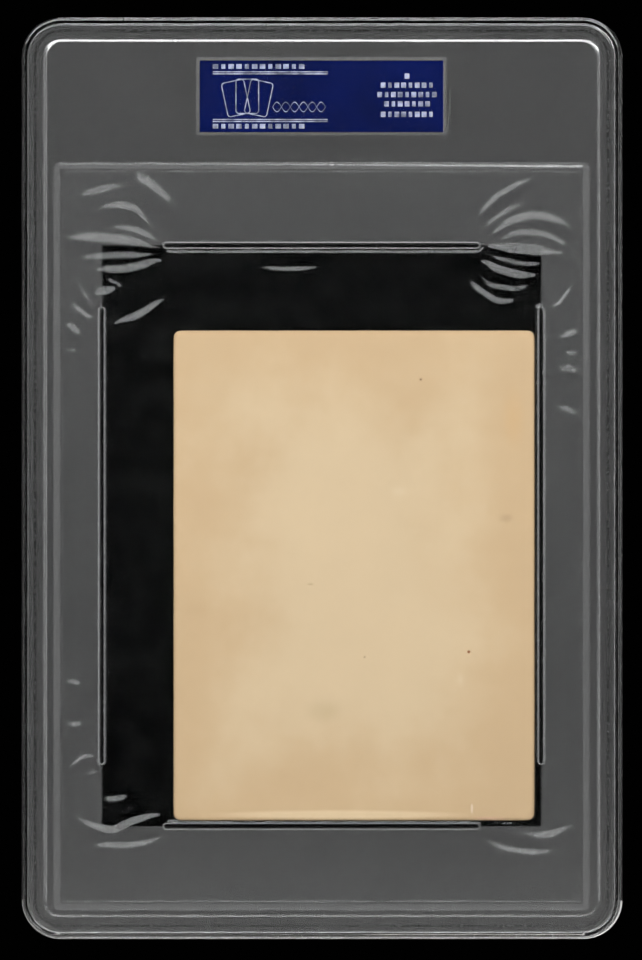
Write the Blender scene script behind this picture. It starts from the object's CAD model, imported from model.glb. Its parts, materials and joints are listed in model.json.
"""The visual model of an upright graded card slab, laid out as an add-on and run as a script.

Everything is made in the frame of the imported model, in metres: X is the width, Z the height and Y the
thickness. The reverse of the card faces -Y, and its picture side faces +Y.
"""
import json
import math

import bmesh
import bpy
import numpy as np
from bpy.props import FloatProperty, FloatVectorProperty, IntProperty, PointerProperty
from mathutils import Matrix, Vector


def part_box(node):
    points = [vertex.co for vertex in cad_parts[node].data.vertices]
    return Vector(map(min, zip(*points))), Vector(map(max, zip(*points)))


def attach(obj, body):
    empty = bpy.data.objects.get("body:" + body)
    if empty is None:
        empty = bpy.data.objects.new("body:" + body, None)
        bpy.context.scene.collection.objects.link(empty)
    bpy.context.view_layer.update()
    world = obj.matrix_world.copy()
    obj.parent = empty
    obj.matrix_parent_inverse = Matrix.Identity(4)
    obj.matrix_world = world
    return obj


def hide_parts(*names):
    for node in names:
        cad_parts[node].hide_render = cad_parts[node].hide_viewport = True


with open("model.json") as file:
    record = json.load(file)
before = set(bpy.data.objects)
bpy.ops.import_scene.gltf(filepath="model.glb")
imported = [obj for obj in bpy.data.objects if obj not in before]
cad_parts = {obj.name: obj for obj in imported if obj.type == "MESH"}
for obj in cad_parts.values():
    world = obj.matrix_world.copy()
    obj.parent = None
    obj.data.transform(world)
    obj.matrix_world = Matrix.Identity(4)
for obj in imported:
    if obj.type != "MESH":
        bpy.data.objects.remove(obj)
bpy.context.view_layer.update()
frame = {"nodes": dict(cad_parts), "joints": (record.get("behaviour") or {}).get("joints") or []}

bl_info = {
    "name": "Graded card slab",
    "version": (1, 0, 0),
    "blender": (4, 5, 0),
    "location": "View3D > Sidebar > Card slab",
    "description": "Builds a welded clear case with its film sleeve, card and foil label",
    "category": "Object",
}

MM = 0.001
CASE = "case"
LOOSE = "loose_card"


# ---------------------------------------------------------------- places

def middle(node):
    """The middle of a CAD node's box."""
    low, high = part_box(node)
    return (low + high) / 2


def size(node):
    """The size of a CAD node's box."""
    low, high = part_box(node)
    return high - low


SLAB, SLAB_MID = size("front_shell"), middle("front_shell")
CORNER_R = 8.8 * MM
RIM_START = (SLAB.x - size("back_shell").x) / 2
FILM_T = 0.12 * MM
RIB_W = 1.3 * MM
# The rectangle that the pinch ribs are centred on, and how far each rib reaches from its middle
WINDOW_MID = np.array([0, 91.0]) * MM
WINDOW_HALF = np.array([49.9, 65.6]) * MM
RIB_REACH = WINDOW_HALF - 14 * MM
# The ridge that frames the sleeve: its middle, its outer half width and half height, and how wide it is
SLEEVE_MID, SLEEVE_HALF, SLEEVE_RIDGE = np.array([0, 90.9]) * MM, np.array([60.8, 84.4]) * MM, 1.4 * MM
# The ridge that frames the label: how far its outer wall is from the label, and its corners' radius
LABEL_RIDGE, LABEL_RIDGE_R = 1.6 * MM, 1 * MM
CARD, CARD_MID = size("card"), middle("card")
CARD_TRAVEL = frame["joints"][0]["range_m"][1]
LABEL, LABEL_MID = size("label_card"), middle("label_card")
LABEL_PLACE = (LABEL_MID.x, LABEL_MID.z)
POLYSTYRENE_IOR = 1.59
POLYESTER_IOR = 1.5
# The most that a film stands off the middle before it levels out, and how far it may still go
FILM_PROUD, FILM_PLAY = 0.75 * MM, 0.17 * MM
CARD_PITCH = 0.7 * MM


# ---------------------------------------------------------------- settings

def linear(code):
    """The linear colour of an sRGB hex code."""
    channels = [int(code[i:i + 2], 16) / 255 for i in (0, 2, 4)]
    return [c / 12.92 if c <= 0.04045 else ((c + 0.055) / 1.055) ** 2.4 for c in channels]


def length(name, default, description):
    return FloatProperty(
        name=name, default=default * MM, description=description, min=0, precision=5, unit="LENGTH"
    )


def share(name, default, description):
    return FloatProperty(name=name, default=default, description=description, min=0, max=1, subtype="FACTOR")


def colour(name, code, description):
    return FloatVectorProperty(
        name=name, default=linear(code), description=description, subtype="COLOR", min=0, max=1
    )


class SlabShellSettings(bpy.types.PropertyGroup):
    plastic: colour("Plastic", "FBFCFC", "Tint of the clear polystyrene")
    haze: share("Haze", 0.0065, "Share of the light that each matte face scatters as white haze")
    matte: share("Matte roughness", 0.1, "Roughness of the moulded matte texture")
    polish: share("Polish roughness", 0.03, "Roughness of the window, the label pad and the outer flange")


class SlabFilmSettings(bpy.types.PropertyGroup):
    pitch: length("Mesh pitch", 0.5, "Distance between the film's mesh lines where it folds")
    slack: length("Slack", 0.3, "How far each film stands off the middle where the card lies or slides")
    rest: length("Rest", 0.06, "How far each film stands off the middle beside the card")
    slope: share("Fold slope", 0.34, "Steepness of the folds")
    height: length("Fold height", 0.6, "The most that a fold rises")


class SlabCardSettings(bpy.types.PropertyGroup):
    board: colour("Board", "DEC49F", "Aged board in the middle of the reverse")
    aged: colour("Aged edge", "D6B78F", "The board's tone near its edges")
    corner: length("Corner radius", 1.6, "Radius of the worn corners")
    wear: length("Edge wear", 0.09, "How far the worn edges run in and out")
    seed: IntProperty(name="Seed", default=7, min=0, description="Picks the pattern of the edge wear")


class SlabLabelSettings(bpy.types.PropertyGroup):
    foil: colour("Foil", "020E42", "Blue metallised foil")
    silver: colour("Silver", "9094A8", "Stamped silver foil")
    paper: colour("Paper", "ECEBE6", "Paper on the label's picture side")


class SlabStageSettings(bpy.types.PropertyGroup):
    azimuth: FloatProperty(
        name="Azimuth", default=math.radians(6), subtype="ANGLE", description="Camera angle round the slab"
    )
    view: length("View height", 216.8, "Height that the camera sees")
    lamps: FloatProperty(name="Lamps", default=1.82, min=0, description="Brightness of all the lamps")


# ---------------------------------------------------------------- small tools

def add_node(tree, kind, *values, **named):
    """Adds a shader node. Plain values fill its sockets in order. A name that starts with a capital is a
    socket, and any other name is a setting. A node or a socket given as a value is linked."""
    node = tree.nodes.new("ShaderNode" + kind)
    sockets = dict(enumerate(values))
    for name, value in named.items():
        if name[0].isupper():
            sockets[name] = value
        else:
            setattr(node, name, value)
    for name, value in sockets.items():
        if isinstance(value, bpy.types.Node):
            value = value.outputs[0]
        if isinstance(value, bpy.types.NodeSocket):
            tree.links.new(value, node.inputs[name])
        else:
            node.inputs[name].default_value = value
    return node


def new_material(name):
    """An empty material: (material, its node tree, its Object coordinates)."""
    material = bpy.data.materials.new(name)
    material.use_nodes = True
    tree = material.node_tree
    tree.nodes.clear()
    return material, tree, add_node(tree, "TexCoord").outputs["Object"]


def finish_material(tree, shader):
    add_node(tree, "OutputMaterial", Surface=shader)


def inside_box(tree, place, centre, half):
    """1 inside an upright rectangle of the X-Z plane, and 0 outside it."""
    away = add_node(tree, "VectorMath", place, (centre[0], 0, centre[1]), operation="SUBTRACT")
    axes = add_node(tree, "SeparateXYZ", add_node(tree, "VectorMath", away, operation="ABSOLUTE"))
    across = add_node(tree, "Math", axes.outputs["X"], half[0], operation="LESS_THAN")
    up = add_node(tree, "Math", axes.outputs["Z"], half[1], operation="LESS_THAN")
    return add_node(tree, "Math", across, up, operation="MULTIPLY")


def edge_depth(tree, place, centre, half, radius):
    """The distance inwards from a rounded rectangle's outline, in metres."""
    away = add_node(tree, "VectorMath", place, (centre[0], 0, centre[1]), operation="SUBTRACT")
    away = add_node(tree, "VectorMath", away, operation="ABSOLUTE")
    past = add_node(
        tree, "VectorMath", away, (half[0] - radius, 1, half[1] - radius), operation="SUBTRACT"
    )
    round_part = add_node(
        tree, "VectorMath", add_node(tree, "VectorMath", past, (0, 0, 0), operation="MAXIMUM"),
        operation="LENGTH",
    ).outputs["Value"]
    axes = add_node(tree, "SeparateXYZ", past)
    deepest = add_node(tree, "Math", axes.outputs["X"], axes.outputs["Z"], operation="MAXIMUM")
    straight_part = add_node(tree, "Math", deepest, 0, operation="MINIMUM")
    outside = add_node(tree, "Math", round_part, straight_part, operation="ADD")
    return add_node(tree, "Math", radius, outside, operation="SUBTRACT")


def blot(tree, place, centre, reach, soft):
    """1 within an ellipse of the X-Z plane, fading to 0 over the outer share of its reach."""
    away = add_node(
        tree, "VectorMath",
        add_node(tree, "VectorMath", place, (centre[0] * MM, 0, centre[1] * MM), operation="SUBTRACT"),
        (1 / (reach[0] * MM), 0, 1 / (reach[1] * MM)), operation="MULTIPLY",
    )
    far = add_node(tree, "VectorMath", away, operation="LENGTH").outputs["Value"]
    return add_node(tree, "MapRange", far, 1 - soft, 1, 1, 0, interpolation_type="SMOOTHSTEP")


def new_object(name, build):
    """An object at the origin whose mesh is what build(bm) makes."""
    bm = bmesh.new()
    build(bm)
    mesh = bpy.data.meshes.new(name)
    bm.to_mesh(mesh)
    bm.free()
    made = bpy.data.objects.new(name, mesh)
    bpy.context.scene.collection.objects.link(made)
    return made


def smooth_copy(node, name, angle=32):
    """A merged copy of a CAD node with smooth fillets and flat faces that stay flat."""
    def take(bm):
        bm.from_mesh(frame["nodes"][node].data)
        bmesh.ops.remove_doubles(bm, verts=bm.verts, dist=0.001 * MM)
        bmesh.ops.dissolve_limit(
            bm, angle_limit=math.radians(0.3), verts=bm.verts, edges=bm.edges, use_dissolve_boundaries=False
        )
    copy = new_object(name, take)
    copy.data.shade_smooth()
    copy.data.set_sharp_from_angle(angle=math.radians(angle))
    flat = copy.modifiers.new("flat faces", "WEIGHTED_NORMAL")
    flat.keep_sharp = True
    flat.weight = 90
    return copy


def dress(piece, body, slot, material, *replaced):
    """Gives a piece its material and slot, and lets it ride on its body in place of CAD nodes."""
    piece.data.materials.clear()
    piece.data.materials.append(material)
    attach(piece, body)
    if replaced:
        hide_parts(*replaced)


def dress_node(node, material):
    """Gives a CAD node its material."""
    mesh = frame["nodes"][node].data
    mesh.materials.clear()
    mesh.materials.append(material)


# ---------------------------------------------------------------- materials

def clear_polystyrene(settings):
    """Crystal polystyrene, injection moulded. The mould's spark texture leaves most of it matte, so it glows
    an even grey when lit from the side. The window, the label pad and the outer flange are polished, so they
    stay as dark as what lies behind them."""
    material, tree, place = new_material("clear_polystyrene_moulded")
    edge = edge_depth(tree, place, (SLAB_MID.x, SLAB_MID.z), (SLAB.x / 2, SLAB.z / 2), CORNER_R)
    window = inside_box(tree, place, WINDOW_MID, WINDOW_HALF)
    # The faces over the ribs are clear too
    ribs = inside_box(tree, place, WINDOW_MID, WINDOW_HALF + RIB_W / 2)
    across = inside_box(tree, place, WINDOW_MID, (RIB_REACH[0], SLAB.z))
    upright = inside_box(tree, place, WINDOW_MID, (SLAB.x, RIB_REACH[1]))
    along = add_node(tree, "Math", across, upright, operation="MAXIMUM")
    polish = add_node(tree, "Math", ribs, along, operation="MULTIPLY")
    pad_half = (LABEL.x / 2 + 0.05 * MM, LABEL.z / 2 + 0.05 * MM)
    pad = inside_box(tree, place, LABEL_PLACE, pad_half)
    flange = add_node(tree, "Math", edge, RIM_START - 0.02 * MM, operation="LESS_THAN")
    for clear_face in (window, pad, flange):
        polish = add_node(tree, "Math", polish, clear_face, operation="MAXIMUM")
    matte = add_node(tree, "Math", 1, polish, operation="SUBTRACT")
    # The spark texture's grain is about 0.05 mm, and is drawn as 0.35 mm so that it shows
    grain = add_node(tree, "TexNoise", Vector=place, Scale=1 / (0.35 * MM), Detail=1, Roughness=0.7)
    cloud = add_node(tree, "TexNoise", Vector=place, Scale=1 / (14 * MM), Detail=1)
    sparkle = add_node(tree, "MapRange", grain, 0.3, 0.7, 0.6, 1.4)
    uneven = add_node(tree, "MapRange", cloud, 0.3, 0.7, 0.93, 1.07)
    haze = add_node(tree, "Math", sparkle, uneven, operation="MULTIPLY")
    haze = add_node(tree, "Math", haze, settings.haze, operation="MULTIPLY")
    haze = add_node(tree, "Math", haze, matte, operation="MULTIPLY")
    # The ridges round the sleeve and the label are paler, and the rounded roots of the ribs catch the light.
    # Each line: coordinates, outline's middle, half size and radius, depth of the line in it, half width, haze
    mirrored = add_node(tree, "VectorMath", place, (WINDOW_MID[0], 0, WINDOW_MID[1]), operation="SUBTRACT")
    mirrored = add_node(tree, "VectorMath", mirrored, operation="ABSOLUTE")
    label_half = (LABEL.x / 2 + LABEL_RIDGE, LABEL.z / 2 + LABEL_RIDGE)
    for start, centre, half, radius, middle_line, reach, glow in (
        (place, SLEEVE_MID, SLEEVE_HALF, SLEEVE_RIDGE, SLEEVE_RIDGE / 2, SLEEVE_RIDGE / 2, 0.012),
        (place, LABEL_PLACE, label_half, LABEL_RIDGE_R, 1.2 * MM, 0.35 * MM, 0.015),
        (mirrored, (0, WINDOW_HALF[1]), (RIB_REACH[0], RIB_W / 2), RIB_W / 2, 0, 0.11 * MM, 0.07),
        (mirrored, (WINDOW_HALF[0], 0), (RIB_W / 2, RIB_REACH[1]), RIB_W / 2, 0, 0.11 * MM, 0.07),
    ):
        line = edge_depth(tree, start, centre, half, radius)
        line = add_node(tree, "Math", line, middle_line, reach, operation="COMPARE")
        haze = add_node(tree, "Math", line, glow, haze, operation="MULTIPLY_ADD")
    # Dust lies on the faces as specks of about 0.1 mm
    speck = add_node(tree, "Math", grain, 0.81, operation="GREATER_THAN")
    haze = add_node(tree, "Math", speck, 0.1, haze, operation="MULTIPLY_ADD")
    clear = add_node(tree, "Math", 1, haze, operation="SUBTRACT")
    rough = add_node(tree, "Math", sparkle, settings.matte, operation="MULTIPLY")
    rough = add_node(tree, "MapRange", matte, 0, 1, settings.polish, rough)
    shader = add_node(
        tree, "BsdfPrincipled", Roughness=rough, IOR=POLYSTYRENE_IOR,
        **{"Base Color": (*settings.plastic, 1), "Transmission Weight": clear},
    )
    # Lamps shine straight through, less what the faces mirror, so what lies inside is lit
    through = add_node(tree, "BsdfTransparent", Color=(0.95, 0.95, 0.95, 1))
    lamp = add_node(tree, "LightPath").outputs["Is Shadow Ray"]
    finish_material(tree, add_node(tree, "MixShader", lamp, shader, through))
    return material


def remelted_polystyrene():
    """Polystyrene that melted and set in the weld: glassy, rippled, and darker than the shells' matte faces."""
    material, tree, place = new_material("remelted_polystyrene")
    ripple = add_node(tree, "TexNoise", Vector=place, Scale=1 / (0.8 * MM), Detail=2)
    tone = add_node(tree, "MapRange", ripple, 0.35, 0.65, 0.006, 0.03)
    bump = add_node(tree, "Bump", Height=ripple, Distance=0.05 * MM)
    shader = add_node(
        tree, "BsdfPrincipled", Roughness=0.22, IOR=POLYSTYRENE_IOR, Normal=bump,
        **{"Base Color": add_node(tree, "CombineXYZ", tone, tone, tone)},
    )
    finish_material(tree, shader)
    return material


def polyester_film():
    """Clear polyester film, cast, drawn and wound. It is seen only by what its folds mirror."""
    material, tree, place = new_material("clear_polyester_film")
    scuff = add_node(tree, "TexNoise", Vector=place, Scale=1 / (5 * MM), Detail=0)
    rough = add_node(tree, "MapRange", scuff, 0.3, 0.7, 0.03, 0.07)
    # The shell in front dims what the film mirrors, and its matte faces also blur it
    window = inside_box(tree, place, WINDOW_MID, WINDOW_HALF)
    rough = add_node(tree, "MapRange", window, 0, 1, 0.12, rough)
    # Light crosses the film without bending, so both its faces mirror like an outer one
    behind = add_node(tree, "NewGeometry").outputs["Backfacing"]
    change = 1 / POLYESTER_IOR - POLYESTER_IOR
    index = add_node(tree, "Math", behind, change, POLYESTER_IOR, operation="MULTIPLY_ADD")
    fresnel = add_node(tree, "Fresnel", IOR=index)
    dimmed = add_node(tree, "MapRange", window, 0, 1, 0.4, 0.5)
    mirrored = add_node(tree, "Math", fresnel, dimmed, operation="MULTIPLY")
    clear = add_node(tree, "BsdfTransparent", Color=(0.99, 0.992, 0.992, 1))
    gloss = add_node(tree, "BsdfGlossy", Roughness=rough)
    finish_material(tree, add_node(tree, "MixShader", mirrored, clear, gloss))
    return material


def aged_board(settings):
    """Uncoated paperboard, browned by age: no gloss, soft clouds and fibres, darker rims and a few stains. Its
    picture side is printed with a plain landscape inside a pale border."""
    material, tree, place = new_material("aged_paperboard")
    centre, half = (CARD_MID.x, CARD_MID.z), (CARD.x / 2, CARD.z / 2)
    depth = edge_depth(tree, place, centre, half, settings.corner)
    # Browning creeps in from the edges
    cloud = add_node(tree, "TexNoise", Vector=place, Scale=1 / (26 * MM), Detail=5, Roughness=0.6)
    uneven = add_node(tree, "MapRange", cloud, 0.3, 0.7, -12 * MM, 12 * MM)
    rim = add_node(tree, "Math", depth, uneven, operation="ADD")
    rim = add_node(tree, "MapRange", rim, 0, 30 * MM, 1, 0, interpolation_type="SMOOTHSTEP")
    board = add_node(tree, "MixRGB", rim, (*settings.board, 1), (*settings.aged, 1))
    shade = add_node(tree, "MapRange", cloud, 0.3, 0.7, 0.97, 1.03)
    # Fibres are about 0.03 mm thick, and are drawn as 0.4 mm flecks so that they show
    fibre = add_node(tree, "TexNoise", Vector=place, Scale=1 / (0.4 * MM), Detail=4, Roughness=0.75)
    fleck = add_node(tree, "MapRange", fibre, 0.3, 0.7, 0.965, 1.035)
    shade = add_node(tree, "Math", shade, fleck, operation="MULTIPLY")
    shade = add_node(tree, "CombineXYZ", shade, shade, shade)
    board = add_node(tree, "VectorMath", board, shade, operation="MULTIPLY")
    # The rubbed rim is a little darker
    rubbed = add_node(tree, "MapRange", depth, 0.1 * MM, 0.7 * MM, 0.45, 0)
    board = add_node(tree, "MixRGB", rubbed, board, (*linear("B08F68"), 1))
    # Stains and specks: centre and reach in mm, share of the reach that fades, strength and tone
    for where, reach, soft, strength, tone in (
        ((43.5, 117.5), (3.5, 9), 0.9, 0.30, "DDB27C"),
        ((41.8, 95), (2.4, 1.4), 0.8, 0.30, "A98F6C"),
        ((0.6, 51.5), (6.5, 4), 0.9, 0.28, "B9A27C"),
        ((-27.6, 74.5), (4.5, 3), 0.9, 0.16, "C2A47C"),
        ((22.5, 126.3), (0.32, 0.28), 0.3, 0.75, "6E4E30"),
        ((33.4, 64.8), (0.42, 0.42), 0.3, 0.85, "8A4A1C"),
        ((9.7, 63.6), (0.28, 0.2), 0.3, 0.7, "6E4E30"),
        ((-2.6, 80.1), (0.9, 0.3), 0.6, 0.4, "9A7C58"),
        ((17.5, 101), (2.6, 1.4), 0.9, 0.12, "FFF0D2"),
        ((31.5, 58.5), (1.2, 1.8), 0.9, 0.14, "FFF0D2"),
        ((34.1, 29.4), (0.4, 1.5), 0.6, 0.4, "FFF2DC"),
        ((4, 28), (33, 1.3), 0.5, 0.5, "F6DDB6"),
        ((38, 27.2), (5, 0.5), 0.6, 0.5, "E2B79C"),
    ):
        spot = add_node(tree, "Math", blot(tree, place, where, reach, soft), strength, operation="MULTIPLY")
        board = add_node(tree, "MixRGB", spot, board, (*linear(tone), 1))
    # The picture side: sky, a low sun, far hills and a near field
    axes = add_node(tree, "SeparateXYZ", place)
    sky = add_node(tree, "MapRange", axes.outputs["Z"], CARD_MID.z - 10 * MM, CARD_MID.z + 50 * MM)
    picture = add_node(tree, "MixRGB", sky, (*linear("F0CF9A"), 1), (*linear("7FA9B8"), 1))
    sun = blot(tree, place, (22, 96), (9, 9), 0.06)
    picture = add_node(tree, "MixRGB", sun, picture, (*linear("E8804A"), 1))
    along = add_node(tree, "CombineXYZ", axes.outputs["X"], 0, 0)
    for grain, low, high, tone in ((30, 62, 104, "6E8C86"), (22, 44, 78, "4F7350"), (34, 20, 62, "A3924E")):
        ridge = add_node(tree, "TexNoise", Vector=along, Scale=1 / (grain * MM), Detail=2)
        ridge = add_node(tree, "MapRange", ridge, 0.25, 0.75, low * MM, high * MM)
        below = add_node(tree, "Math", axes.outputs["Z"], ridge, operation="LESS_THAN")
        picture = add_node(tree, "MixRGB", below, picture, (*linear(tone), 1))
    framed = add_node(tree, "Math", depth, 4.5 * MM, operation="GREATER_THAN")
    picture = add_node(tree, "MixRGB", framed, (*linear("E9DABC"), 1), picture)
    worn = add_node(tree, "VectorMath", picture, shade, operation="MULTIPLY")
    front = add_node(tree, "Math", axes.outputs["Y"], 0.2 * MM, operation="GREATER_THAN")
    colour_out = add_node(tree, "MixRGB", front, board, worn)
    bump = add_node(tree, "Bump", Height=fibre, Distance=0.03 * MM, Strength=0.6)
    finish_material(
        tree, add_node(tree, "BsdfPrincipled", Roughness=0.85, Normal=bump, **{"Base Color": colour_out})
    )
    return material


def blue_foil(settings):
    """Polyester foil, metallised and lacquered deep blue. It is smooth but never flat, so its sheen drifts."""
    material, tree, place = new_material("blue_metallised_foil")
    drift = add_node(tree, "TexNoise", Vector=place, Scale=1 / (16 * MM), Detail=3)
    tone = add_node(tree, "MapRange", drift, 0.3, 0.7, 0.75, 1.3)
    grit = add_node(tree, "TexNoise", Vector=place, Scale=1 / (0.3 * MM), Detail=2)
    bump = add_node(tree, "Bump", Height=grit, Distance=0.01 * MM, Strength=0.4)
    tone = add_node(tree, "CombineXYZ", tone, tone, tone)
    base = add_node(tree, "VectorMath", tuple(settings.foil), tone, operation="MULTIPLY")
    shader = add_node(
        tree, "BsdfPrincipled", Roughness=0.18, Metallic=0.2, Normal=bump, **{"Base Color": base}
    )
    finish_material(tree, shader)
    return material


def stamped_silver(settings):
    """Hot-stamped aluminium foil: it crackles under the die, so it glitters in some places and is grey in
    others."""
    material, tree, place = new_material("hot_stamped_silver_foil")
    crackle = add_node(tree, "TexNoise", Vector=place, Scale=1 / (2.2 * MM), Detail=1)
    shine = add_node(tree, "MapRange", crackle, 0.35, 0.65, 0.35, 1)
    shine = add_node(tree, "CombineXYZ", shine, shine, shine)
    base = add_node(tree, "VectorMath", tuple(settings.silver), shine, operation="MULTIPLY")
    bump = add_node(tree, "Bump", Height=crackle, Distance=0.04 * MM)
    shader = add_node(
        tree, "BsdfPrincipled", Roughness=0.5, Metallic=1, Normal=bump, **{"Base Color": base}
    )
    finish_material(tree, shader)
    return material


def label_paper(settings):
    """Smooth coated label paper, printed with a blue border and plain grey bars."""
    material, tree, place = new_material("coated_label_paper")
    depth = edge_depth(tree, place, LABEL_PLACE, (LABEL.x / 2, LABEL.z / 2), 0.1 * MM)
    band_out = add_node(tree, "Math", depth, 0.6 * MM, operation="GREATER_THAN")
    band_in = add_node(tree, "Math", depth, 1.3 * MM, operation="LESS_THAN")
    band = add_node(tree, "Math", band_out, band_in, operation="MULTIPLY")
    ink = add_node(tree, "MixRGB", band, (*settings.paper, 1), (*linear("1C3F8C"), 1))
    for across, up, wide in ((-8, 4, 14), (-8, 0.6, 14), (-12, -2.8, 10), (18, 1.5, 3.4), (18, -3.6, 3.4)):
        bar = inside_box(tree, place, (LABEL_MID.x - across * MM, LABEL_MID.z + up * MM), (wide * MM, 0.7 * MM))
        ink = add_node(tree, "MixRGB", bar, ink, (*linear("3B3E44"), 1))
    fibre = add_node(tree, "TexNoise", Vector=place, Scale=1 / (0.5 * MM), Detail=3)
    bump = add_node(tree, "Bump", Height=fibre, Distance=0.01 * MM, Strength=0.4)
    finish_material(
        tree, add_node(tree, "BsdfPrincipled", Roughness=0.5, Normal=bump, **{"Base Color": ink})
    )
    return material


def matte_paint():
    """The studio's painted floor: pale, matte and even."""
    material, tree, place = new_material("pale_matte_floor")
    stipple = add_node(tree, "TexNoise", Vector=place, Scale=1 / (3 * MM), Detail=2)
    bump = add_node(tree, "Bump", Height=stipple, Distance=0.1 * MM, Strength=0.2)
    finish_material(
        tree,
        add_node(
            tree, "BsdfPrincipled", Roughness=0.8, Normal=bump, **{"Base Color": (*linear("D8D8D6"), 1)}
        ),
    )
    return material


# ---------------------------------------------------------------- shells and weld

class SLAB_OT_shells(bpy.types.Operator):
    """Finish the two moulded shells in clear polystyrene"""
    bl_idname = "slab.shells"
    bl_label = "Shells"

    def execute(self, context):
        plastic = clear_polystyrene(context.scene.slab_shell)
        for node, name in (("front_shell", "moulded_front_shell"), ("back_shell", "moulded_back_shell")):
            dress(smooth_copy(node, name), CASE, "clear_shell", plastic, node)
        return {"FINISHED"}


class SLAB_OT_weld(bpy.types.Operator):
    """Finish the weld bead between the shells"""
    bl_idname = "slab.weld"
    bl_label = "Weld bead"

    def execute(self, context):
        dress_node("weld_bead", remelted_polystyrene())
        return {"FINISHED"}


# ---------------------------------------------------------------- film sleeve

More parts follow.
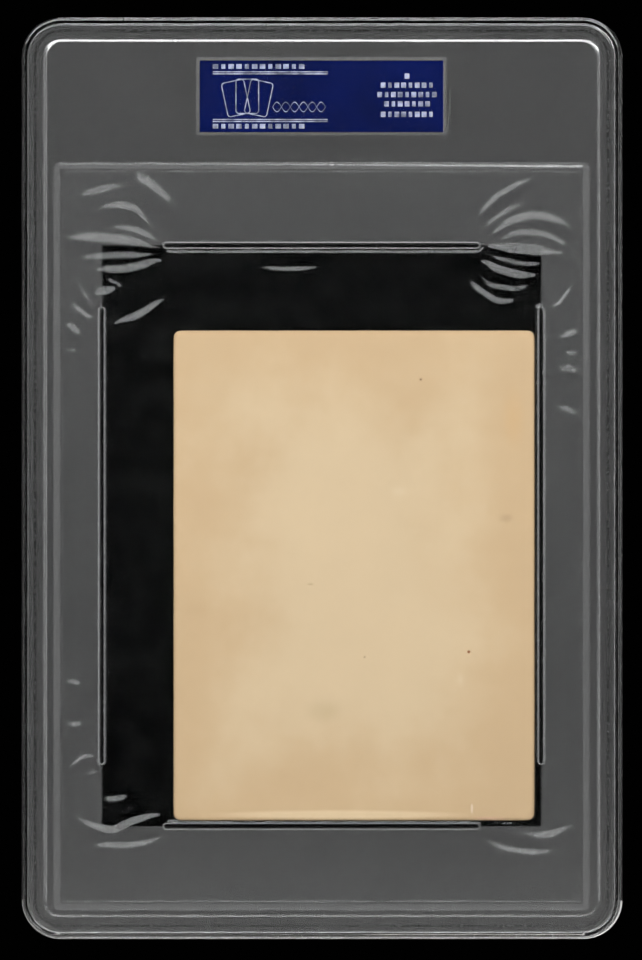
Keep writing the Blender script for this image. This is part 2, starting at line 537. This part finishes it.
# The folds that fan out of the pinch ribs' ends, as (film, width, points) in mm. The points run along the
# middle of the face that a high lamp lights, outwards and upwards from that corner of the window.
FOLDS = {
    ("left", "top"): [
        ("back", 2.4, [(-13.2, -0.9), (-11, -0.3), (-7, 0.8), (-1.7, 1.6), (3.6, 1.8), (8.7, 1.8)]),
        ("front", 1.5, [(-12.4, -1.6), (-9.2, -2.0), (-4.4, -2.0), (-0.1, -2.3), (5.8, -2.7)]),
        ("back", 1.9, [(-14.5, -4.4), (-12.4, -3.5), (-8.4, -4.7), (-4.4, -5.5), (-0.4, -5.4), (1.8, -5.9)]),
        ("front", 1.0, [(-0.1, -7.5), (-2.2, -7.8), (-4.1, -9.1), (-4.4, -9.9)]),
        ("back", 2.0, [(2, -11.2), (-0.1, -10.4), (-3, -9.9)]),
        ("front", 0.7, [(-15, -5.6), (-14, -6.9), (-12.4, -8.3), (-11.6, -10.1)]),
        ("back", 1.8, [(-2.2, -18.1), (-4.4, -17.1), (-7, -16.3), (-9.7, -14.9), (-12.4, -13.1), (-14.2, -12.3)]),
        ("back", 1.6, [(-13.7, 1.8), (-11, 4.5), (-8.4, 7.4), (-5.4, 9), (-1.7, 8.8), (1, 7.7)]),
        ("front", 1.5, [(-13.2, 0.8), (-11, 2.1), (-8.4, 3.4), (-4.9, 4.2), (-2.2, 4.2)]),
        ("back", 2.5, [(-18.2, 5.8), (-15.1, 10.4), (-11, 13.8), (-7, 17)]),
        ("front", 1.6, [(-4.4, 13.8), (-0.4, 13), (5, 11.4)]),
        ("back", 1.3, [(1.1, -14.9), (2.8, -12.8), (4.4, -10.4), (5.8, -7.5), (6.3, -4.8)]),
        ("front", 1.3, [(1.2, -15.5), (2.8, -16), (4.7, -14.9), (6.8, -12.8), (7.9, -10.7)]),
        ("back", 1.8, [(4.2, -21.3), (6.3, -18.9), (8.7, -17.3)]),
        ("front", 0.6, [(-20.1, -11.2), (-23.3, -11.8)]),
        ("back", 1.0, [(-33.6, -4.8), (-38, -5.3), (-42, -5.4), (-46, -5.3), (-50.9, -4.9)]),
        ("front", 1.1, [(5.5, -23.7), (9.0, -23.7)]),
    ],
    ("right", "top"): [
        ("back", 2.3, [(-11.6, -0.4), (-8.4, -0.7), (-4.2, -1.1), (-0.4, -1.4), (5.2, -1.8)]),
        ("front", 1.1, [(-13.8, -0.8), (-11.1, -2.2), (-7.9, -3.2), (-4.2, -4), (1.2, -4)]),
        ("back", 1.9, [(-14.6, -4.3), (-12.7, -3.8), (-10, -5.4), (-6.3, -6.4), (-3.1, -6.9), (-0.7, -6.7)]),
        ("front", 1.2, [(-15.5, -4.9), (-13.8, -6.9), (-11.6, -8.8), (-9.5, -9.2), (-5.8, -9.6), (-2, -8.5)]),
        ("back", 1.5, [(-17.2, -6.7), (-15.6, -8.8), (-13.2, -10.7), (-10.6, -12.3), (-7.9, -12.8), (-5.5, -12)]),
        ("back", 1.9, [(-12.7, 0.5), (-10.6, 2.9), (-7.1, 5.3), (-3.1, 6.6), (0.9, 6.4), (4.4, 5.3), (7.6, 2.9)]),
        ("front", 1.4, [(-11.1, -0.1), (-7.9, 2.1), (-4.2, 3.2), (-0.4, 2.9), (3.3, 1.6), (7, -0.5)]),
        ("back", 1.5, [(-15.6, 3.4), (-13.8, 7.2), (-10.6, 10.6), (-6.3, 13.3), (-1.8, 15.2)]),
        ("front", 1.3, [(-13.8, 3.7), (-11.1, 5.8), (-7.1, 8.5), (-3.6, 9.8)]),
        ("back", 1.3, [(1.2, -14.4), (3.6, -13.3), (5.2, -11.5), (6.8, -9.1), (7.3, -6.4)]),
        ("front", 0.7, [(-2, -12), (-1.2, -13.9)]),
        ("back", 1.8, [(3.8, -21.3), (6.2, -20), (10, -18.9)]),
        ("front", 1.2, [(4.9, -24.2), (9.7, -24.2)]),
        ("back", 1.6, [(3.6, -27.8), (6.5, -27.9), (9.7, -28.9)]),
        ("front", 1.6, [(3.1, -35.9), (9.6, -38.4)]),
    ],
    ("left", "bottom"): [
        ("back", 2.3, [(-15.6, 1.2), (-13.5, 2.4), (-11.4, 2.4), (-8, 1.5), (-4.5, 0.1), (-2.2, -0.8), (1.3, -0.1),
                       (4, 1), (7, 2.6)]),
        ("front", 1.7, [(-14.9, -1.2), (-13.7, -2), (-11.4, -3.1), (-8.6, -3.8), (-5, -4.2), (-1, -4.1),
                        (3.1, -4.1)]),
        ("back", 1.5, [(-0.1, 6.4), (-2.2, 6.1), (-4, 6.3), (-5.8, 7)]),
        ("front", 0.7, [(-2.4, 3.3), (-5.4, 4.1), (-8.2, 4.6), (-11.4, 4.5)]),
        ("back", 1.3, [(0.8, 14.6), (2.4, 15.6), (4.3, 15.6), (6.3, 14.1), (8.6, 12.3)]),
        ("front", 1.0, [(0.6, 13.2), (1.5, 12.5), (2.4, 12.2), (4, 12.6)]),
        ("back", 0.8, [(-1.3, 14.7), (-2.3, 13.9)]),
        ("back", 1.5, [(4.1, 32.1), (6.5, 32.6), (9.1, 33)]),
        ("front", 1.5, [(4.1, 23.6), (9.1, 22.8)]),
    ],
    ("right", "bottom"): [
        ("back", 2.3, [(-12.8, 0.9), (-9.7, 0.5), (-6.5, 0.1), (-3.6, -0.8), (-0.7, -1.9), (2.4, -1.7), (4.6, -0.8),
                       (7.8, 0.7)]),
        ("front", 1.6, [(-14.8, -1.5), (-12.1, -3.3), (-8.8, -4.6), (-5.4, -5.3), (-2.1, -5.7), (1.3, -5.5),
                        (4.2, -5.1)]),
        ("back", 0.9, [(0.8, 14.5), (2, 14.4), (3.3, 13.2), (4.6, 11.4)]),
    ],
}


def smooth_curve(points, steps=6):
    """Points along a Catmull-Rom curve."""
    points = [np.array(p, float) for p in points]
    ends = [2 * points[0] - points[1], *points, 2 * points[-1] - points[-2]]
    curve = []
    for a, b, c, d in zip(ends, ends[1:], ends[2:], ends[3:]):
        for t in np.arange(steps) / steps:
            curve.append(
                b + (c - a) * t / 2 + (a - 2.5 * b + 2 * c - d / 2) * t**2 + (1.5 * (b - c) + (d - a) / 2) * t**3
            )
    return np.array([*curve, points[-1]])


def smoothstep(x):
    x = np.clip(x, 0, 1)
    return x * x * (3 - 2 * x)


def fold_rise(place, curve, width, slope, facing):
    """How far a fold lifts the film at each place. The lit face falls away upwards when facing is 1, and
    downwards when it is -1, and the fold's other face runs back to the sheet."""
    run = np.diff(curve, axis=0)
    span = np.linalg.norm(run, axis=1)
    along = np.concatenate([[0], np.cumsum(span)])
    gap = np.full(len(place), np.inf)
    share, side = np.zeros(len(place)), np.zeros(len(place))
    for k, start in enumerate(curve[:-1]):
        away = place - start
        t = np.clip(away @ run[k] / span[k] ** 2, 0, 1)
        off = away - t[:, None] * run[k]
        far = np.linalg.norm(off, axis=1)
        up = np.array([-run[k][1], run[k][0]]) / span[k]
        up = up if up[1] >= 0 else -up
        closer = far < gap
        gap = np.where(closer, far, gap)
        share = np.where(closer, (along[k] + t * span[k]) / along[-1], share)
        side = np.where(closer, np.sign(off @ up) * far * facing, side)
    taper = 0.3 + 0.7 * smoothstep(share / 0.35)
    half = width / 2 * taper * (0.35 + 0.65 * smoothstep((1 - share) / 0.3))
    lit = np.clip((half - side) / (2 * half), 0, 1)
    back = 1 - smoothstep((-side - half) / (1.8 * half))
    # The ends die away within their own width
    ends = np.where((share <= 0) | (share >= 1), 1 - smoothstep(gap / (width / 2)), 1)
    return slope * 2 * half * np.where(side < -half, back, lit) * ends


def rib_gap(place):
    """Distance from each place to the nearest pinch rib's side."""
    gap = np.full(len(place), np.inf)
    for axis in (0, 1):
        other = 1 - axis
        for s in (-1, 1):
            past = np.maximum(np.abs(place[:, axis] - WINDOW_MID[axis]) - RIB_REACH[axis] + RIB_W / 2, 0)
            off = place[:, other] - WINDOW_MID[other] - s * WINDOW_HALF[other]
            gap = np.minimum(gap, np.hypot(past, off))
    return gap - RIB_W / 2


def film_standoff(side, place, settings):
    """How far one film stands off the middle plane at each place, in metres."""
    reach = np.array([CARD.x, CARD.z + CARD_TRAVEL]) / 2 + 0.4 * MM
    beside = np.abs(place - (CARD_MID.x, CARD_MID.z + CARD_TRAVEL / 2)) - reach
    beside = np.linalg.norm(np.maximum(beside, 0), axis=1)
    stand = settings.slack + (settings.rest - settings.slack) * smoothstep(beside / (2.5 * MM))
    for (across, level), folds in FOLDS.items():
        mirror = np.array([-1 if across == "left" else 1, 1])
        corner = WINDOW_MID + WINDOW_HALF * mirror * (1, 1 if level == "top" else -1)
        for film, width, points in folds:
            if film != side:
                continue
            curve = smooth_curve([corner + mirror * point * np.array(MM) for point in points])
            reach = 3 * width * MM
            near = ((place > curve.min(0) - reach) & (place < curve.max(0) + reach)).all(1)
            facing = 1 if side == "back" else -1
            slope = min(settings.slope, settings.height / (width * MM))
            stand[near] += fold_rise(place[near], curve, width * MM, slope, facing)
    return stand


def mesh_lines(stops, pitch):
    """Places along one axis, close together in the outer two stretches and wider apart in the middle one."""
    stretches = []
    for (start, end), gap in zip(zip(stops, stops[1:]), (pitch, 2.4 * pitch, pitch)):
        stretches.append(np.linspace(start, end, round((end - start) / gap), endpoint=False))
    return np.concatenate([*stretches, [stops[-1]]])


class SLAB_OT_sleeve(bpy.types.Operator):
    """Make the sleeve's two films, with the folds that fan out of the pinch ribs"""
    bl_idname = "slab.sleeve"
    bl_label = "Film sleeve"

    def execute(self, context):
        settings = context.scene.slab_film
        clear = polyester_film()
        for side, sign in (("back", -1), ("front", 1)):
            node = f"sleeve_{side}_film"
            low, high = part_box(node)
            # The film is smooth in its middle, and needs fewer mesh lines there
            columns = mesh_lines((low.x, -28 * MM, 28 * MM, high.x), settings.pitch)
            rows = mesh_lines((low.z, 61 * MM, 117 * MM, high.z), settings.pitch)

            def sheet(bm):
                bmesh.ops.create_grid(
                    bm, x_segments=len(columns) - 1, y_segments=len(rows) - 1, size=0.5,
                    matrix=Matrix.Rotation(math.pi / 2, 4, "X"),
                )
                place = np.array([(v.co.x, v.co.z) for v in bm.verts]) + 0.5
                place = np.rint(place * (len(columns) - 1, len(rows) - 1)).astype(int)
                place = np.stack([columns[place[:, 0]], rows[place[:, 1]]], axis=1)
                stand = film_standoff(side, place, settings)
                # The ribs hold the two films together, and the frame holds their edges
                stand *= smoothstep(rib_gap(place) / (1.1 * MM))
                rim = np.minimum(place - (low.x, low.z), np.array([high.x, high.z]) - place).min(1)
                stand *= 0.2 + 0.8 * smoothstep(rim / (3 * MM))
                # No fold reaches the shells
                proud = np.maximum(stand - FILM_PROUD, 0)
                stand = np.minimum(stand, FILM_PROUD) + FILM_PLAY * np.tanh(proud / FILM_PLAY)
                for vertex, (x, z), off in zip(bm.verts, place, stand):
                    vertex.co = (x, sign * (off + FILM_T / 2), z)

            film = new_object(f"folded_{side}_film", sheet)
            film.data.shade_smooth()
            thick = film.modifiers.new("thickness", "SOLIDIFY")
            thick.thickness = FILM_T
            thick.offset = 0
            dress(film, CASE, "sleeve_film", clear, node)
        return {"FINISHED"}


# ---------------------------------------------------------------- card

class SLAB_OT_card(bpy.types.Operator):
    """Make the card, with its soft worn rim"""
    bl_idname = "slab.card"
    bl_label = "Card"

    def execute(self, context):
        settings = context.scene.slab_card
        rng = np.random.default_rng(settings.seed)
        half = np.array([CARD.x, CARD.z]) / 2
        corner = settings.corner
        # The rim's wear is a sum of waves of 1 to 9 mm along the outline
        waves = [(rng.uniform(1, 9) * MM, rng.uniform(0, 6.28), rng.uniform(0.3, 1)) for _ in range(14)]

        def board(bm):
            bmesh.ops.create_grid(
                bm, x_segments=round(CARD.x / CARD_PITCH), y_segments=round(CARD.z / CARD_PITCH), size=0.5,
                matrix=Matrix.Rotation(math.pi / 2, 4, "X"),
            )
            bmesh.ops.scale(bm, vec=(CARD.x, 1, CARD.z), verts=bm.verts)
            for vertex in bm.verts:
                place = np.array([vertex.co.x, vertex.co.z])
                past = np.abs(place) - half + corner
                if (past > 0).all():
                    # A corner's square lines become round ones
                    past *= past.max() / np.hypot(*past)
                    place = np.sign(place) * (half - corner + past)
                if vertex.is_boundary:
                    run = place[0] * 2.3 + place[1]
                    worn = sum(w * math.sin(run / pitch + phase) for pitch, phase, w in waves) / 8
                    heavy = 1.6 if (past > -1.5 * MM).all() else 1
                    worn_in = settings.wear * heavy * (0.5 + 0.5 * np.tanh(worn))
                    place -= np.sign(place) * (past >= past.max() - 1e-6) * worn_in
                vertex.co.x, vertex.co.z = CARD_MID.x + place[0], CARD_MID.z + place[1]
                vertex.co.y = CARD_MID.y

        card = new_object("worn_card", board)
        card.data.shade_smooth()
        thick = card.modifiers.new("thickness", "SOLIDIFY")
        thick.thickness = CARD.y
        thick.offset = 0
        soft = card.modifiers.new("rubbed rim", "BEVEL")
        soft.width = 0.14 * MM
        soft.segments = 2
        soft.limit_method = "ANGLE"
        soft.angle_limit = math.radians(50)
        dress(card, LOOSE, "card_board", aged_board(settings), "card")
        return {"FINISHED"}


# ---------------------------------------------------------------- label

class SLAB_OT_label(bpy.types.Operator):
    """Finish the label: its paper, the blue foil and the stamped silver marks"""
    bl_idname = "slab.label"
    bl_label = "Label"

    def execute(self, context):
        settings = context.scene.slab_label
        dress_node("label_card", label_paper(settings))
        dress_node("label_foil", blue_foil(settings))
        dress_node("label_stamping", stamped_silver(settings))
        return {"FINISHED"}


# ---------------------------------------------------------------- stage

def softbox(name, place, aim, width, height, brightness):
    """A soft square lamp, whose power follows from how bright its face is."""
    lamp = bpy.data.lights.new(name, "AREA")
    lamp.shape = "RECTANGLE"
    lamp.size, lamp.size_y = width, height
    lamp.energy = brightness * math.pi * width * height
    holder = bpy.data.objects.new(name, lamp)
    bpy.context.scene.collection.objects.link(holder)
    place = Vector(place)
    turn = (Vector(aim) - place).to_track_quat("-Z", "Y").to_matrix().to_4x4()
    holder.matrix_world = Matrix.Translation(place) @ turn
    return holder


class SLAB_OT_stage(bpy.types.Operator):
    """Set up the floor, the lamps and the camera"""
    bl_idname = "slab.stage"
    bl_label = "Stage"

    def execute(self, context):
        settings, scene = context.scene.slab_stage, context.scene
        aim = Vector((0, 0, SLAB.z / 2))
        back = Vector((math.sin(settings.azimuth), -math.cos(settings.azimuth), 0))
        across = Vector((0, 0, 1)).cross(back)
        lens = bpy.data.cameras.new("camera")
        lens.type = "ORTHO"
        lens.ortho_scale = settings.view
        lens.clip_start = 0.01
        camera = bpy.data.objects.new("camera", lens)
        scene.collection.objects.link(camera)
        turn = back.to_track_quat("Z", "Y").to_matrix().to_4x4()
        # The slab stands a little right of the view's middle and above it
        camera.matrix_world = Matrix.Translation(aim + back - across * 0.24 * MM - Vector((0, 0, 0.4 * MM))) @ turn
        scene.camera = camera

        floor = new_object("floor", lambda bm: bmesh.ops.create_grid(bm, x_segments=1, y_segments=1, size=1.5))
        floor.data.materials.append(matte_paint())
        # What shows through the clear and matte faces stays dark, as over a dark cloth
        floor.visible_transmission = False

        power = settings.lamps
        softbox("key", (0, -0.9, 0.83), aim, 2.3, 0.85, 4.0 * power)
        softbox("side_left", (-0.95, -1.0, 0.35), aim, 0.6, 0.9, 0.7 * power)
        softbox("side_right", (0.95, -1.0, 0.35), aim, 0.6, 0.9, 0.7 * power)
        softbox("rear", (0.2, 0.6, 1.1), aim, 1.0, 0.5, 4.5 * power).visible_transmission = False

        world = bpy.data.worlds.new("dark_studio")
        world.use_nodes = True
        world.node_tree.nodes["Background"].inputs["Color"].default_value = (0.0003, 0.0003, 0.0003, 1)
        scene.world = world
        scene.view_settings.view_transform = "Standard"
        scene.cycles.transparent_max_bounces = 16
        scene.cycles.max_bounces = 6
        scene.cycles.transmission_bounces = 6
        scene.cycles.caustics_refractive = False
        scene.cycles.caustics_reflective = False
        return {"FINISHED"}


# ---------------------------------------------------------------- add-on

SETTINGS = {
    "slab_shell": SlabShellSettings,
    "slab_film": SlabFilmSettings,
    "slab_card": SlabCardSettings,
    "slab_label": SlabLabelSettings,
    "slab_stage": SlabStageSettings,
}
STEPS = (SLAB_OT_stage, SLAB_OT_shells, SLAB_OT_weld, SLAB_OT_sleeve, SLAB_OT_card, SLAB_OT_label)


class SLAB_PT_panel(bpy.types.Panel):
    """Lists the steps that build the slab"""
    bl_idname = "SLAB_PT_panel"
    bl_label = "Card slab"
    bl_space_type = "VIEW_3D"
    bl_region_type = "UI"
    bl_category = "Card slab"

    def draw(self, context):
        for step in STEPS:
            self.layout.operator(step.bl_idname)


def register():
    for group in (*SETTINGS.values(), *STEPS, SLAB_PT_panel):
        bpy.utils.register_class(group)
    for name, group in SETTINGS.items():
        setattr(bpy.types.Scene, name, PointerProperty(type=group))


def unregister():
    for name in SETTINGS:
        delattr(bpy.types.Scene, name)
    for group in reversed((*SETTINGS.values(), *STEPS, SLAB_PT_panel)):
        bpy.utils.unregister_class(group)


def main():
    register()
    bpy.ops.slab.stage()
    bpy.ops.slab.shells()
    bpy.ops.slab.weld()
    bpy.ops.slab.sleeve()
    bpy.ops.slab.card()
    bpy.ops.slab.label()


if __name__ == "__main__":
    main()
